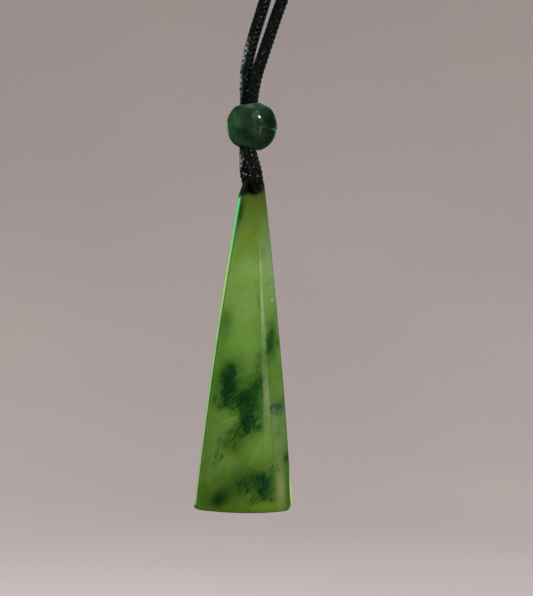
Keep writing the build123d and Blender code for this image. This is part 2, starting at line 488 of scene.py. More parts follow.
def knot_tree():
    """Turns of cord round a core: a spiral and a straight line, each given the cord's thickness."""
    tree = bpy.data.node_groups.new("barrel_knot", "GeometryNodeTree")
    for name in ("Turns", "Wrap Radius", "Wound Length", "Cord Radius", "Knot Length"):
        tree.interface.new_socket(name, in_out="INPUT", socket_type="NodeSocketFloat")
    tree.interface.new_socket("Finish", in_out="INPUT", socket_type="NodeSocketMaterial")
    tree.interface.new_socket("Knot", in_out="OUTPUT", socket_type="NodeSocketGeometry")
    given = node(tree, "NodeGroupInput").outputs
    spiral = node(tree, "GeometryNodeCurveSpiral", {
        "Resolution": TURN_POINTS,
        "Rotations": given["Turns"],
        "Start Radius": given["Wrap Radius"],
        "End Radius": given["Wrap Radius"],
        "Height": given["Wound Length"],
    })
    lift = node(tree, "ShaderNodeCombineXYZ", {"Z": given["Cord Radius"]}).outputs[0]
    wound = node(tree, "GeometryNodeTransform", {"Geometry": spiral.outputs[0], "Translation": lift})
    end = node(tree, "ShaderNodeCombineXYZ", {"Z": given["Knot Length"]}).outputs[0]
    core = node(tree, "GeometryNodeCurvePrimitiveLine", {"End": end}).outputs[0]
    core = node(tree, "GeometryNodeResampleCurve", {"Curve": core, "Count": CORE_POINTS})
    lines = node(tree, "GeometryNodeJoinGeometry")
    for line in (core, wound):
        tree.links.new(line.outputs[0], lines.inputs[0])
    along = node(tree, "GeometryNodeSplineParameter").outputs["Length"]
    path, run = kept_on(tree, lines.outputs[0], "Run", along)
    values = {"Resolution": KNOT_CORD_SIDES, "Radius": given["Cord Radius"]}
    profile = node(tree, "GeometryNodeCurvePrimitiveCircle", values).outputs[0]
    around = node(tree, "GeometryNodeSplineParameter").outputs["Factor"]
    profile, share = kept_on(tree, profile, "Share", around)
    values = {"Curve": path, "Profile Curve": profile, "Fill Caps": True}
    skin = node(tree, "GeometryNodeCurveToMesh", values)
    turn = product(tree, share, math.tau)
    place = node(tree, "ShaderNodeCombineXYZ", {
        0: maths(tree, "COSINE", turn),
        1: maths(tree, "SINE", turn),
        2: maths(tree, "DIVIDE", run, MM),
    })
    values = {"Geometry": skin.outputs[0], "Name": "cord_place", "Value": place.outputs[0]}
    stored = node(tree, "GeometryNodeStoreNamedAttribute", values, data_type="FLOAT_VECTOR")
    realized = node(tree, "GeometryNodeRealizeInstances", {0: stored.outputs[0]})
    values = {"Geometry": realized.outputs[0], "Material": given["Finish"]}
    finished = node(tree, "GeometryNodeSetMaterial", values)
    node(tree, "NodeGroupOutput", {"Knot": finished.outputs[0]})
    return tree


def as_shown(maker):
    """An object's mesh with its modifiers applied."""
    return bpy.data.meshes.new_from_object(maker.evaluated_get(bpy.context.evaluated_depsgraph_get()))


def made_by(tree, values, name):
    """The plain mesh that a tree of geometry nodes makes with these inputs."""
    maker = new_object(name, bpy.data.meshes.new(name))
    modifier = maker.modifiers.new(name, "NODES")
    modifier.node_group = tree
    for socket in tree.interface.items_tree:
        if socket.in_out == "INPUT":
            modifier[socket.identifier] = values[socket.name]
    mesh = as_shown(maker)
    maker.modifiers.remove(modifier)
    bpy.data.objects.remove(maker)
    return mesh


cord_radius = CORD_DIAMETER / 2
knot_values = {
    "Turns": KNOT_TURNS,
    "Wrap Radius": WRAP_RADIUS * MM,
    "Wound Length": KNOT_LENGTH * MM - 2 * cord_radius,
    "Cord Radius": cord_radius,
    "Knot Length": KNOT_LENGTH * MM,
    "Finish": waxed_braid,
}
knot_mesh = made_by(knot_tree(), knot_values, "barrel_knot")
knot_lean = Vector(KNOT_LEAN).to_track_quat("Z", "Y").to_matrix().to_4x4()
knot_mesh.transform(Matrix.Translation(drop_hole + Vector(KNOT_BOTTOM) * MM) @ knot_lean)
barrel_knot = new_piece("barrel_knot", knot_mesh, waxed_braid)
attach(barrel_knot, "necklace")
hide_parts("closing_knot")

# The bead is a ball of dark nephrite, turned and tumbled to a high polish. Its bore takes both
# strands of the cord and is drilled a little left of its middle, with worn, rounded mouths.
BEAD_RADIUS = 4.0
BEAD_PLACE = (-0.51, 0.0, 9.5)
BORE_OFFSET = -0.61
BORE_RADIUS = 1.9
MOUTH_ROUND = 0.12
BEAD_SIDES = 112
BEAD_ROWS = 64
MOUTH_ROWS = 6
BORE_ROWS = 10
NEPHRITE_IOR = 1.61


def bead_rim(turn):
    """The bead's section on one side of the bore, as distances from the bore's axis and heights."""
    bore_to_middle = -BORE_OFFSET * math.cos(turn)
    section = math.sqrt(BEAD_RADIUS**2 - (BORE_OFFSET * math.sin(turn)) ** 2)
    mouth = BORE_RADIUS + MOUTH_ROUND
    reach = math.acos((mouth - bore_to_middle) / section)
    ball = np.linspace(reach, -reach, BEAD_ROWS)
    rows = [(bore_to_middle + section * math.cos(a), section * math.sin(a)) for a in ball]
    foot = -section * math.sin(reach)
    curl = np.linspace(0, math.pi / 2, MOUTH_ROWS + 1)[1:]
    lower = [(mouth - MOUTH_ROUND * math.sin(a), foot + MOUTH_ROUND * (1 - math.cos(a))) for a in curl]
    start = foot + MOUTH_ROUND
    bore = [(BORE_RADIUS, height) for height in np.linspace(start, -start, BORE_ROWS)[1:-1]]
    upper = [(distance, -height) for distance, height in lower[::-1]]
    return rows + lower + bore + upper


def bead_mesh():
    """The bead, closed round its bore: each side of it is a ring of the same number of points."""
    axis = Vector(BEAD_PLACE) + Vector((BORE_OFFSET, 0, 0))
    vertices = []
    for turn in np.linspace(0, math.tau, BEAD_SIDES, endpoint=False):
        for distance, height in bead_rim(turn):
            place = axis + Vector((distance * math.cos(turn), distance * math.sin(turn), height))
            vertices.append(drop_hole + place * MM)
    rows = len(vertices) // BEAD_SIDES
    faces = []
    for side in range(BEAD_SIDES):
        here, beside = side * rows, (side + 1) % BEAD_SIDES * rows
        for row in range(rows):
            below = (row + 1) % rows
            faces.append((here + row, here + below, beside + below, beside + row))
    return new_mesh("nephrite_bead", vertices, faces)


def polished_stone(tree, shader, body, scatter, depth):
    """Gives a shader the look of polished nephrite: light soaks in, and the gloss is clear."""
    fill(tree, shader, {
        "Base Color": body,
        "IOR": NEPHRITE_IOR,
        "Subsurface Weight": 1.0,
        "Subsurface Radius": scatter,
        "Subsurface Scale": depth * MM,
        "Subsurface Anisotropy": 0.0,
    })


# The bead's marks and painted shading, charted in millimetres from the drop's hole: the middle of each,
# its half sizes, its shade and how strong it is. The first row is painted shade on the right side and the
# second painted light on the top. The pits have only a middle and sizes, and their pale shade is a
# painted glint.
BEAD_MARKS_AND_SHADING = [
    # Painted shade: the bead's dark right side.
    ((2.1, -3.4, 9.4), (2.2, 2.6, 5.5), (4, 12, 5), 0.9),
    # Painted light: the top of the bead made paler and bluer.
    ((-0.6, -1.5, 13.2), (3.4, 3.4, 1.5), (70, 104, 92), 0.34),
    ((-0.02, -3.8, 8.7), (0.22, 0.6, 0.75), (108, 102, 82), 0.8),
    ((0.25, -3.4, 7.5), (0.9, 0.7, 0.7), (62, 60, 48), 0.7),
    ((0.15, -3.7, 10.2), (0.38, 0.5, 0.42), (70, 98, 108), 0.7),
]
# Pits that the polish left, painted pale as small glints round the bead's highlight.
BEAD_PITS_AND_GLINTS = [
    ((-1.1, -3.8, 10.9), (0.45, 0.6, 0.4)),
    ((-0.45, -3.6, 11.5), (0.35, 0.6, 0.5)),
    ((-1.4, -2.6, 12.5), (0.7, 0.9, 0.45)),
]
BEAD_DARK, BEAD_LIGHT = (25, 50, 30), (50, 92, 56)
BEAD_GRAIN, PIT_GLINT_SHADE = (16, 34, 18), (160, 190, 178)
BEAD_CLOUDS, GRAIN, PITTING, BEAD_WEAR = (0.38, 5, 0.6), (3.2, 3), (7.0, 1), (1.1, 4)
# How far red, green and blue light spread inside the stone, as shares of a depth in millimetres.
BEAD_SCATTER, BEAD_SCATTER_DEPTH = (0.5, 1.0, 0.5), 0.45


def bead_material(patch):
    """Dark green nephrite, cloudy, with a brown flaw, a few pits that the polish left painted pale as
    glints, a painted dark right side and painted light on top.
    """
    material, tree, shader = new_material("dark_nephrite")
    place = place_in_mm(tree)
    cloud = noise(tree, place, *BEAD_CLOUDS)[0]
    grain = noise(tree, place, *GRAIN)[0]
    pitting = remapped(tree, noise(tree, place, *PITTING)[0], 0.5, 0.62, 0, 0.6)
    wear = noise(tree, place, *BEAD_WEAR)[0]
    body = tinted(tree, remapped(tree, cloud, 0.35, 0.68), colour(*BEAD_DARK), BEAD_LIGHT)
    body = tinted(tree, remapped(tree, grain, 0.52, 0.8, 0, 0.6), body, BEAD_GRAIN)
    speckle = remapped(tree, grain, 0.38, 0.6, 0.75, 1.0)
    for middle, size, shade, strength in BEAD_MARKS_AND_SHADING:
        found = patch_at(tree, patch, place, middle, size)
        body = tinted(tree, product(tree, found, speckle, strength), body, shade)
    # Painted glints: the pits are made pale, as the light they catch.
    for middle, size in BEAD_PITS_AND_GLINTS:
        pit_glints = product(tree, patch_at(tree, patch, place, middle, size), pitting)
        body = tinted(tree, pit_glints, body, PIT_GLINT_SHADE)
    polished_stone(tree, shader, body, BEAD_SCATTER, BEAD_SCATTER_DEPTH)
    fill(tree, shader, {"Roughness": remapped(tree, wear, 0.45, 0.7, 0.06, 0.16)})
    return material


dark_nephrite = bead_material(soft_patch)
bead = new_piece("nephrite_bead", bead_mesh(), dark_nephrite)
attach(bead, "necklace")
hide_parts("jade_bead")

# The drop is one slab of green nephrite, sawn and ground to a long taper and polished by hand. Its
# front has a narrow band and a broad facet ground along the right edge, and all its rims are eased.
DROP_LENGTH = 50.5
TIP_HEIGHT = 1.6
TIP_LEFT_WIDTH = 1.15
TIP_RIGHT_WIDTH = 1.35
TIP_LEFT_CORNER = 1.5
TIP_RIGHT_CORNER = 1.15
SHOULDER_WIDTH = 2.2
SHOULDER_DEPTH = 1.7
SHOULDER_CORNER = 6.0
FOOT_HALF_WIDTH = 7.8
LEFT_BOW = 0.4
RIGHT_BOW = 0.3
FOOT_BOW = 0.5
FOOT_LEFT_CORNER = 0.65
FOOT_RIGHT_CORNER = 1.4
TIP_HALF_THICKNESS = 1.5
FOOT_HALF_THICKNESS = 1.2
RIM_ROUND = 0.25
FACET_RIM_ROUND = 0.2
FOOT_FACET_RIM_ROUND = 0.6
LEFT_RIM_ROUND = 0.32
FOOT_LEFT_RIM_ROUND = 0.17
BACK_RIM_ROUND = 0.55
# The back of the left rim is ground rounder towards the foot: its round at these heights.
LEFT_BACK_HEIGHTS = (-48.7, -44.0, -30.0, -15.0, 0.0)
LEFT_BACK_ROUNDS = (1.3, 1.4, 1.0, 0.5, 0.25)
# The right and left sides' own rounds begin this far out from the middle and are whole this much
# further out, and near the foot they fade to the foot's own round.
RIGHT_SIDE_FROM, RIGHT_SIDE_OVER = 0.5, 1.0
LEFT_SIDE_FROM, LEFT_SIDE_OVER = 1.0, 1.5
FOOT_RIM_HEIGHT, FOOT_RIM_OVER = 0.6, 1.2
# Each ridge of the front: how far right it runs at the hole and at the foot, and the turn beyond it
# in degrees.
FRONT_RIDGES = [
    (0.25, 3.28, 7),
    (0.25, 5.2, 14),
]
RIDGE_SOFTNESS = 0.012
TIP_RIDGE_SOFTNESS = 0.13
SOFT_RIDGE_DEPTH = 9.5
# The unevenness that grinding by hand leaves: waves across and down, where each starts, and its height.
POLISH_WAVES = [
    (0.31, 0.23, 0.7, 0.006),
    (-0.22, 0.41, 2.1, 0.005),
    (0.62, -0.17, 4.0, 0.003),
]
# The back has the same waves, taken from this much further across and down.
BACK_WAVES_X, BACK_WAVES_Z = 5, -3
HOLE_RADIUS = 1.08
HOLE_FLARE = 0.15
DRILL_SIDES = 72
# The corners take their directions from the sides' points this many steps away.
CORNER_STEPS = 8
CORNER_COLUMNS = 8
LONG_ROWS = 190
FOOT_COLUMNS = 92
RIM_ROWS = 7
WALL_ROWS = 3
SHARP_EDGE_DEGREES = 35


def arc_through(start, middle, end):
    """The centre and radius of the circle through three points."""
    (ax, ay), (bx, by), (cx, cy) = start, middle, end
    d = 2 * (ax * (by - cy) + bx * (cy - ay) + cx * (ay - by))
    a2, b2, c2 = ax * ax + ay * ay, bx * bx + by * by, cx * cx + cy * cy
    ux = (a2 * (by - cy) + b2 * (cy - ay) + c2 * (ay - by)) / d
    uy = (a2 * (cx - bx) + b2 * (ax - cx) + c2 * (bx - ax)) / d
    return np.array((ux, uy)), math.dist((ux, uy), start)


def run_between(start, end, middle=None, count=400):
    """Points from start to end, straight or on the arc through a middle point."""
    start, end = np.array(start, float), np.array(end, float)
    shares = np.linspace(0, 1, count)[:, None]
    if middle is None:
        return start + (end - start) * shares
    centre, radius = arc_through(start, middle, end)
    first = math.atan2(*(start - centre)[::-1])
    last = math.atan2(*(end - centre)[::-1])
    sweep = (last - first + math.pi) % math.tau - math.pi
    angles = first + sweep * shares
    return centre + radius * np.hstack([np.cos(angles), np.sin(angles)])


def corner_between(run_in, corner, run_out, radius, count=33):
    """The arc that rounds a corner between two runs, and how much of each run it takes."""
    before, after = run_in[-1 - CORNER_STEPS], run_out[CORNER_STEPS]
    into = (corner - before) / np.linalg.norm(corner - before)
    out_of = (after - corner) / np.linalg.norm(after - corner)
    turn = math.acos(np.clip(into @ out_of, -1, 1))
    trimmed = radius * math.tan(turn / 2)
    inward = out_of - into
    inward /= np.linalg.norm(inward)
    centre = corner + inward * radius / math.cos(turn / 2)
    start, end = corner - into * trimmed, corner + out_of * trimmed
    shares = np.linspace(0, 1, count)[:, None]
    blended = (start - centre) * np.sin((1 - shares) * turn) + (end - centre) * np.sin(shares * turn)
    return centre + blended / math.sin(turn), trimmed


def side_run(start, end, bow):
    """One side of the drop, bowed to the right by this much."""
    return run_between(start, end, (np.array(start) + np.array(end)) / 2 + (bow, 0))


def left_side(foot, tip):
    """The drop's left side: it bows up to the shoulder, and runs straight from there to the tip."""
    shoulder = np.array((-SHOULDER_WIDTH, -SHOULDER_DEPTH))
    rise, slope = side_run(foot, shoulder, -LEFT_BOW), run_between(shoulder, tip)
    bend, cut = corner_between(rise, shoulder, slope, SHOULDER_CORNER)
    rise = rise[np.linalg.norm(rise - shoulder, axis=1) > cut]
    slope = slope[np.linalg.norm(slope - shoulder, axis=1) > cut]
    return np.vstack([rise, bend, slope])


def spaced(line, count):
    """Points that part a line into this many equal steps."""
    lengths = lengths_along(line)
    return points_at(line, lengths, np.linspace(0, lengths[-1], count + 1))


def drop_outline():
    """The drop's outline from the front, as four stretches that meet in the middles of its corners:
    right side down, foot leftwards, left side up, tip rightwards."""
    foot_depth = -(DROP_LENGTH - FOOT_BOW)
    corners = [
        np.array((TIP_RIGHT_WIDTH, TIP_HEIGHT)),
        np.array((FOOT_HALF_WIDTH, foot_depth)),
        np.array((-FOOT_HALF_WIDTH, foot_depth)),
        np.array((-TIP_LEFT_WIDTH, TIP_HEIGHT)),
    ]
    radii = [TIP_RIGHT_CORNER, FOOT_RIGHT_CORNER, FOOT_LEFT_CORNER, TIP_LEFT_CORNER]
    runs = [
        side_run(corners[0], corners[1], RIGHT_BOW),
        run_between(corners[1], corners[2], (0, -DROP_LENGTH)),
        left_side(corners[2], corners[3]),
        run_between(corners[3], corners[0]),
    ]
    arcs = [corner_between(runs[i - 1], corners[i], runs[i], radii[i]) for i in range(4)]
    stretches = []
    for i, run in enumerate(runs):
        (first, first_cut), (last, last_cut) = arcs[i], arcs[(i + 1) % 4]
        steps = np.linalg.norm(run - run[0], axis=1)
        kept = run[(steps > first_cut) & (steps < steps[-1] - last_cut)]
        half = len(first) // 2
        stretches.append((first[half:], np.vstack([first[-1:], kept, last[:1]]), last[: half + 1]))
    sides = []
    for stretch, count in zip(stretches[:3], (LONG_ROWS, FOOT_COLUMNS, LONG_ROWS), strict=True):
        counts = (CORNER_COLUMNS, count, CORNER_COLUMNS)
        parts = [spaced(part, steps)[:-1] for part, steps in zip(stretch, counts, strict=True)]
        sides.append(np.vstack(parts))
    tip = spaced(np.vstack(stretches[3]), FOOT_COLUMNS + 2 * CORNER_COLUMNS)
    return [*sides, tip[:-1]]


def inward_normals(loop):
    """The direction into the drop at each point of its outline, which runs clockwise."""
    before, after = np.roll(loop, 1, axis=0), np.roll(loop, -1, axis=0)
    step_in = (loop - before) / np.linalg.norm(loop - before, axis=1)[:, None]
    step_out = (after - loop) / np.linalg.norm(after - loop, axis=1)[:, None]
    along = step_in + step_out
    along /= np.linalg.norm(along, axis=1)[:, None]
    return np.stack([along[:, 1], -along[:, 0]], axis=1)


def polish_waves(x, z):
    return sum(rise * np.sin(across * x + down * z + start) for across, down, start, rise in POLISH_WAVES)


def half_thickness(z):
    share = -z / DROP_LENGTH
    return TIP_HALF_THICKNESS + (FOOT_HALF_THICKNESS - TIP_HALF_THICKNESS) * share


def front_depth(x, z):
    """How far the front stands before the drop's middle plane: a flat, a band and a facet."""
    depth = half_thickness(z) + polish_waves(x, z)
    softness = RIDGE_SOFTNESS + TIP_RIDGE_SOFTNESS * np.clip(1 + z / SOFT_RIDGE_DEPTH, 0, 1) ** 1.5
    slope_before = 0
    for at_hole, at_foot, turn in FRONT_RIDGES:
        slope = math.tan(math.radians(turn))
        past = x - (at_hole + (at_foot - at_hole) * -z / DROP_LENGTH)
        fall = (slope - slope_before) * past
        depth = depth - (fall + np.sqrt(fall**2 + softness**2)) / 2
        slope_before = slope
    return depth


def back_depth(x, z):
    return half_thickness(z) + polish_waves(x + BACK_WAVES_X, z + BACK_WAVES_Z)


def filled_grid(top, right, foot, left):
    """Points that fill a patch between its four edges, row by row from the top, left to right."""
    across = np.linspace(0, 1, len(top))[None, :, None]
    down = np.linspace(0, 1, len(left))[:, None, None]
    between_ends = (1 - down) * top[None] + down * foot[None]
    between_sides = (1 - across) * left[:, None] + across * right[:, None]
    twice = (1 - down) * ((1 - across) * top[0] + across * top[-1])
    twice = twice + down * ((1 - across) * foot[0] + across * foot[-1])
    return between_ends + between_sides - twice


def rim_rounds(loop):
    """How rounded the drop's front and back rims are at each point of its outline."""
    x, z = loop[:, 0], loop[:, 1]
    down = np.clip(-z / DROP_LENGTH, 0, 1)
    not_foot = np.clip((z + DROP_LENGTH - FOOT_RIM_HEIGHT) / FOOT_RIM_OVER, 0, 1)
    on_right = np.clip((x - RIGHT_SIDE_FROM) / RIGHT_SIDE_OVER, 0, 1) * not_foot
    on_left = np.clip((-x - LEFT_SIDE_FROM) / LEFT_SIDE_OVER, 0, 1) * not_foot
    facet_round = FACET_RIM_ROUND + (FOOT_FACET_RIM_ROUND - FACET_RIM_ROUND) * down**4
    left_front = np.interp(down, (0, 0.5, 1), (RIM_ROUND, LEFT_RIM_ROUND, FOOT_LEFT_RIM_ROUND))
    left_back = np.interp(z, LEFT_BACK_HEIGHTS, LEFT_BACK_ROUNDS)
    front = RIM_ROUND + (facet_round - RIM_ROUND) * on_right + (left_front - RIM_ROUND) * on_left
    back = RIM_ROUND + (BACK_RIM_ROUND - RIM_ROUND) * down
    return front, back + (left_back - back) * on_left


def rim_rings(loop, inward, rounds, depth_of):
    """The rings of a rim's round, from the flat's edge out to the wall: places and depths."""
    inner = loop + inward * rounds[:, None]
    flat = depth_of(inner[:, 0], inner[:, 1])
    rings = []
    for angle in np.linspace(0, math.pi / 2, RIM_ROWS + 1):
        plan = loop + inward * (rounds * (1 - math.sin(angle)))[:, None]
        rings.append((plan, flat - rounds * (1 - math.cos(angle))))
    return rings


def drop_mesh():
    """The drop's closed skin: a filled front and back, and rings of faces round the rim."""
    right, foot, left, tip = drop_outline()
    loop = np.vstack([right, foot, left, tip])
    inward = inward_normals(loop)
    front_round, back_round = rim_rounds(loop)
    front = [(plan, -depth) for plan, depth in rim_rings(loop, inward, front_round, front_depth)]
    back = rim_rings(loop, inward, back_round, back_depth)[::-1]
    shares = np.linspace(0, 1, WALL_ROWS + 2)[1:-1]
    wall = [(loop, front[-1][1] * (1 - share) + back[0][1] * share) for share in shares]
    rings = [np.column_stack([plan[:, 0], y, plan[:, 1]]) for plan, y in front + wall + back]
    vertices = np.vstack(rings)
    around = len(loop)
    faces = ring_walls(len(rings), around)[:, [0, 3, 2, 1]].tolist()
    rows, columns = len(right) + 1, len(tip) + 1
    starts = np.cumsum([0, len(right), len(foot), len(left)])
    right_ids = np.arange(starts[0], starts[0] + rows)
    foot_ids = np.arange(starts[1], starts[1] + columns)[::-1]
    left_ids = np.arange(starts[2], starts[2] + rows)[::-1]
    tip_ids = np.arange(starts[3], starts[3] + columns) % around
    for ring, depth_of, side in ((0, front_depth, -1), (len(rings) - 1, back_depth, 1)):
        plan = rings[ring][:, [0, 2]]
        grid = filled_grid(plan[tip_ids], plan[right_ids], plan[foot_ids], plan[left_ids])
        ids = np.empty(grid.shape[:2], int)
        ids[0], ids[-1] = tip_ids + ring * around, foot_ids + ring * around
        ids[:, 0], ids[:, -1] = left_ids + ring * around, right_ids + ring * around
        inner = grid[1:-1, 1:-1].reshape(-1, 2)
        ids[1:-1, 1:-1] = (len(vertices) + np.arange(len(inner))).reshape(rows - 2, columns - 2)
        depth = side * depth_of(inner[:, 0], inner[:, 1])
        vertices = np.vstack([vertices, np.column_stack([inner[:, 0], depth, inner[:, 1]])])
        quads = np.stack([ids[:-1, :-1], ids[1:, :-1], ids[1:, 1:], ids[:-1, 1:]], axis=-1).reshape(-1, 4)
        faces.extend((quads if side < 0 else quads[:, ::-1]).tolist())
    return new_mesh("nephrite_drop", (vertices * MM + np.array(drop_hole)).tolist(), faces)


def hole_cutter():
    """The drill's shape: a rod along Y that widens at the drop's front and back."""
    reach = 2 * TIP_HALF_THICKNESS
    start = TIP_HALF_THICKNESS - HOLE_FLARE
    wide = HOLE_RADIUS + reach - start
    profile = [(-reach, wide), (-start, HOLE_RADIUS), (start, HOLE_RADIUS), (reach, wide)]
    vertices = []
    for depth, radius in profile:
        for turn in np.linspace(0, math.tau, DRILL_SIDES, endpoint=False):
            place = Vector((radius * math.cos(turn), depth, -radius * math.sin(turn)))
            vertices.append(drop_hole + place * MM)
    return new_mesh("drill", vertices, tube_faces(len(profile), DRILL_SIDES))


def drilled(mesh):
    """The drop's mesh with its hole cut through."""
    blank = new_object("drop_blank", mesh)
    drill = new_object("drill", hole_cutter())
    cut = blank.modifiers.new("drill", "BOOLEAN")
    cut.operation = "DIFFERENCE"
    cut.solver = "EXACT"
    cut.object = drill
    made = as_shown(blank)
    bpy.data.objects.remove(drill)
    bpy.data.objects.remove(blank)
    return made


# The drop's dark patches, charted in millimetres from its hole. Each row gives the middle's x
# and z, half width, half height, lean to the right, how deep it reaches, and how strong its cloud and
# its short needles are. The back's lie under the back face. All but the even ones have torn edges.
FRONT_PATCHES = [
    (-3.2, -30.2, 1.5, 3.5, 6, 2.4, 0.93, 0.1),
    (-5.2, -31.0, 1.6, 3.4, 5, 1.6, 0.3, 0.0),
    (-4.6, -25.0, 1.3, 6.0, 6, 1.6, 0.16, 0.0),
    (-3.4, -32.6, 1.2, 1.5, 0, 1.8, 0.85, 0.5),
    (-2.5, -29.4, 2.8, 4.2, 8, 1.6, 0.45, 0.0),
    (-4.6, -33.4, 1.75, 1.25, 40, 1.0, 0.25, 1.0),
    (-2.3, -33.4, 2.12, 1.62, 30, 1.2, 0.5, 1.0),
    (-0.8, -33.0, 1.4, 1.7, 10, 1.8, 0.9, 0.4),
    (0.7, -32.2, 3.0, 3.4, 35, 1.6, 0.6, 0.1),
    (1.6, -30.3, 1.5, 2.6, 30, 1.2, 0.5, 0.0),
    (-0.35, -36.0, 1.2, 2.2, 5, 1.5, 0.95, 0.6),
    (0.7, -35.4, 2.3, 2.8, 10, 1.4, 0.55, 0.4),
    (-0.8, -37.8, 1.75, 2.12, 25, 1.2, 0.7, 1.0),
    (1.1, -36.9, 1.12, 1.38, 20, 1.0, 0.4, 0.9),
    (-2.7, -39.4, 1.88, 1.62, 30, 1.0, 0.4, 1.0),
    (-4.3, -41.4, 0.75, 2.38, 20, 0.9, 0.2, 1.0),
    (3.25, -24.5, 1.3, 3.0, 8, 1.8, 0.72, 0.0),
    (3.5, -21.8, 1.1, 2.6, 5, 1.3, 0.45, 0.0),
    (1.4, -27.2, 1.0, 2.12, 15, 0.9, 0.3, 0.55),
    (5.1, -33.6, 1.25, 1.38, 25, 1.4, 0.85, 0.8),
    (4.2, -34.4, 1.38, 1.12, 40, 1.2, 0.4, 1.0),
    (4.3, -43.2, 1.25, 0.88, 60, 0.9, 0.15, 0.9),
    (2.9, -46.2, 1.9, 2.4, 10, 2.2, 0.97, 0.5),
    (0.5, -45.3, 3.2, 1.9, 15, 1.6, 0.6, 0.3),
    (3.1, -47.7, 1.75, 1.12, 30, 1.0, 0.35, 1.0),
    (-0.5, -46.6, 1.62, 1.25, 30, 1.0, 0.3, 1.0),
    (1.1, -48.4, 0.88, 1.0, 40, 0.9, 0.1, 1.0),
    (4.3, -47.7, 0.88, 1.25, 15, 0.9, 0.1, 0.9),
    (-2.4, -47.2, 1.5, 3.0, 60, 1.6, 0.42, 0.0),
    (-6.8, -47.9, 1.7, 2.2, 5, 1.6, 0.25, 0.0),
    (-3.9, -21.4, 1.5, 2.8, 5, 1.2, 0.3, 0.0),
]
EVEN_PATCHES = [
    (-2.2, -3.7, 0.6, 3.0, 10, 1.6, 0.72, 0.0),
    (1.15, -17.7, 0.35, 1.5, -5, 0.9, 0.3, 0.3),
    (6.5, -41.8, 0.6, 1.3, 5, 1.3, 1.0, 0.0),
]
BACK_PATCHES = [
    (2.4, -31.5, 2.2, 2.6, 30, 1.4, 0.8, 0.7),
    (-1.6, -21.0, 1.2, 2.4, 10, 1.2, 0.5, 0.3),
    (0.8, -42.5, 3.75, 2.25, 50, 1.3, 0.6, 0.8),
]
# Patches of a lighter or darker green, and one painted highlight: x, z, half width, half height, lean,
# strength and shade.
TINTS_AND_PAINTED_SPARKLE = [
    (-0.6, -8.4, 1.7, 2.4, 10, 0.35, (140, 172, 50)),
    (-0.2, -12.6, 2.2, 2.4, 40, 0.5, (160, 196, 110)),
    (-0.3, -19.0, 2.8, 4.0, 15, 0.3, (160, 204, 118)),
    (-1.2, -24.4, 3.2, 3.2, 0, 0.38, (136, 190, 80)),
    (2.1, -40.3, 3.2, 3.0, 20, 0.35, (142, 190, 84)),
    (-3.4, -42.4, 3.2, 1.6, 30, 0.4, (128, 166, 92)),
    (-2.6, -35.9, 0.25, 1.9, 70, 0.2, (170, 196, 120)),
    (5.6, -46.4, 1.1, 4.4, -4, 0.6, (170, 184, 118)),
    (7.0, -46.5, 0.6, 4.6, -4, 0.55, (62, 98, 66)),
    (3.2, -49.3, 3.2, 1.0, 0, 0.5, (128, 168, 52)),
    (-3.4, -47.7, 1.7, 3.4, 55, 0.6, (34, 60, 2)),
    (-4.05, -48.3, 1.2, 1.7, 50, 0.96, (3, 22, 0)),
    # Painted highlight: a small yellow-white sparkle on the band.
    (3.3, -17.3, 0.22, 0.36, 15, 0.8, (180, 206, 96)),
]
FRONT_MIDDLE_Y = -1.2
BACK_MIDDLE_Y = 1.2
TINT_REACH = 2.0
NEEDLE_LEAN = 30
NEEDLE_STRENGTH = 0.68
NEEDLE_SHAPE = (3.4, 1.4, 0.8)
WISP_SHAPE = (0.55, 0.5, 0.2)
MOTTLE_NOISE, WANDER_NOISE, POLISH_NOISE = (1.9, 5, 0.7), (0.75, 2), (0.9, 5)
STROKE_NOISE, WISP_NOISE = (1.0, 2), (1.0, 5, 0.6)
DROP_SCATTER, DROP_SCATTER_DEPTH = (0.26, 0.9, 0.22), 0.9
# How far the edges of the patches and the needles wander, in millimetres.
EDGE_WANDER = (2.0,) * 3
NEEDLE_WANDER = (0.9,) * 3
# The stone's own colour, by the share of the way from the first of these heights down to the second.
TONE_TOP, TONE_FOOT = 2, -52
TONES = [
    (0.0, (76, 94, 32)),
    (0.075, (92, 114, 42)),
    (0.12, (108, 134, 54)),
    (0.3, (133, 173, 84)),
    (0.5, (107, 152, 58)),
    (0.7, (100, 141, 49)),
    (0.86, (86, 122, 34)),
    (1.0, (80, 110, 22)),
]
WISP_SHADE, CLOUD_SHADE, MOTTLE_SHADE = (128, 164, 98), (104, 134, 30), (90, 134, 38)
PATCH_SHADE, NEEDLE_SHADE, PATCH_CORE = (40, 96, 28), (8, 56, 16), (1, 48, 20)
# The first two of these are painted: shade on the rims and a glow at the right foot. The third is grime
# and the cord's painted shadow.
PAINTED_RIM_SHADE, PAINTED_GLOW_SHADE, GRIME_AND_SHADOW_SHADE = (20, 56, 26), (214, 250, 140), (8, 12, 7)
PAINTED_RIM_STRENGTH = 0.5
# A painted glow on the thinnest part of the right rim, near the foot, standing in for light that comes
# through there.
PAINTED_GLOW_MIDDLE, PAINTED_GLOW_SIZE, PAINTED_GLOW_LEAN = (7.45, 0.0, -47.2), (0.95, 4.0, 3.2), -7
# Dark wax and grime from the cord, with the cord's painted shadow round the hole and on the left
# shoulder: their x and z, and how far they reach and fade.
GRIME_AND_SHADOW = [
    (-0.25, 0.75, 2.0),
    (-2.0, -0.5, 0.95),
]
GRIME_AND_SHADOW_FADE = 0.7
GRIME_AND_SHADOW_UNEVENNESS = 0.8
GRIME_ROUGHNESS = 0.7


